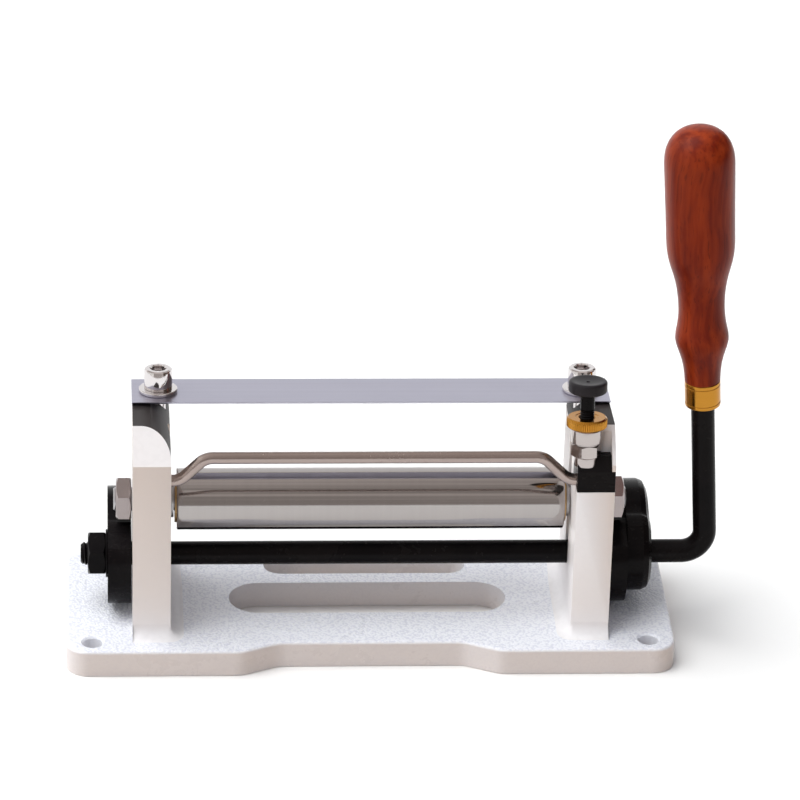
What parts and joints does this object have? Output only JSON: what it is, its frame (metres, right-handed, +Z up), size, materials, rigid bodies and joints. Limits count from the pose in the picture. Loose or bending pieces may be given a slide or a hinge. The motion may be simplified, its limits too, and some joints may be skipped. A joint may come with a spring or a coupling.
{
  "type": "leather splitting machine",
  "caption": "Bench leather splitter: cast frame with fixed blade, roller lifted under its edge by a cam lever, with a wire guard and thumb screw.",
  "frame": {"origin": "centre of the four bolt holes, on the base plate's underside", "axes": "+X along the blade to the lever, +Y to the rear, +Z up"},
  "size_m": [0.2644, 0.0889, 0.2215],
  "materials": {
    "casting_paint": "pebbled white enamel",
    "blade_steel": "satin ground",
    "chrome": "bright plated",
    "roller_chrome": "polished",
    "nickel_wire": "satin nickel",
    "bare_steel": "turned",
    "black_steel": "gloss black",
    "black_knob": "satin black",
    "brass": "polished",
    "bronze": "sintered",
    "wood": "red-brown varnish"
  },
  "bodies": {
    "machine_frame": {"base_plate": "casting_paint", "left_post": "casting_paint", "right_post": "casting_paint", "blade": "blade_steel", "blade_screws": "chrome", "blade_washers": "chrome", "guard_block": "black_steel", "guard_dowel": "bare_steel", "guard_sleeve": "chrome"},
    "lever": {"lever_rod": "black_steel", "left_cam": "black_steel", "right_cam": "black_steel", "cam_set_screws": "bare_steel", "lever_end_nut": "black_steel", "lever_end_washer": "black_steel", "ferrule_pin": "brass", "handle_ferrule": "brass", "handle_grip": "wood"},
    "axle_carriage": {"roller_axle": "bare_steel", "axle_nuts": "chrome", "axle_spacers": "bare_steel"},
    "roller": {"roller_shell": "roller_chrome", "roller_bushes": "bronze"},
    "guard": {"guard_wire": "nickel_wire"},
    "clamp_pad": {"screw_pad": "brass"},
    "thumb_screw": {"thumb_stem": "black_steel", "thumb_knob": "black_knob"},
    "lock_ring": {"lock_nut": "brass"}
  },
  "joints": [
    {"name": "lever_swing", "type": "hinge", "parent": "machine_frame", "child": "lever", "pos_m": [0, 0, 0.033], "axis": [1, 0, 0], "range_deg": [0, 90]},
    {"name": "roller_lift", "type": "slide", "parent": "machine_frame", "child": "axle_carriage", "axis": [0, 0, 1], "range_m": [0, 0.0277]},
    {"name": "roller_spin", "type": "hinge", "parent": "axle_carriage", "child": "roller", "pos_m": [0, 0, 0.0579], "axis": [1, 0, 0], "continuous": true},
    {"name": "guard_swing", "type": "hinge", "parent": "machine_frame", "child": "guard", "pos_m": [0, -0.0245, 0.0792], "axis": [1, 0, 0], "range_deg": [-15, 100]},
    {"name": "pad_travel", "type": "slide", "parent": "machine_frame", "child": "clamp_pad", "axis": [0, 0.1392, 0.9903], "range_m": [0, 0.0041]},
    {"name": "thumb_turn", "type": "hinge", "parent": "clamp_pad", "child": "thumb_screw", "pos_m": [0.0841, -0.0245, 0.0792], "axis": [0, 0.1392, 0.9903], "range_deg": [0, 1440]},
    {"name": "lock_turn", "type": "hinge", "parent": "machine_frame", "child": "lock_ring", "pos_m": [0.0841, -0.0245, 0.0792], "axis": [0, 0.1392, 0.9903], "range_deg": [0, 180]}
  ],
  "couplings": [
    {"joint": "roller_lift", "follows": "lever_swing", "m_per_rad": 0.017571},
    {"joint": "pad_travel", "follows": "thumb_turn", "m_per_rad": 0.00015915}
  ]
}
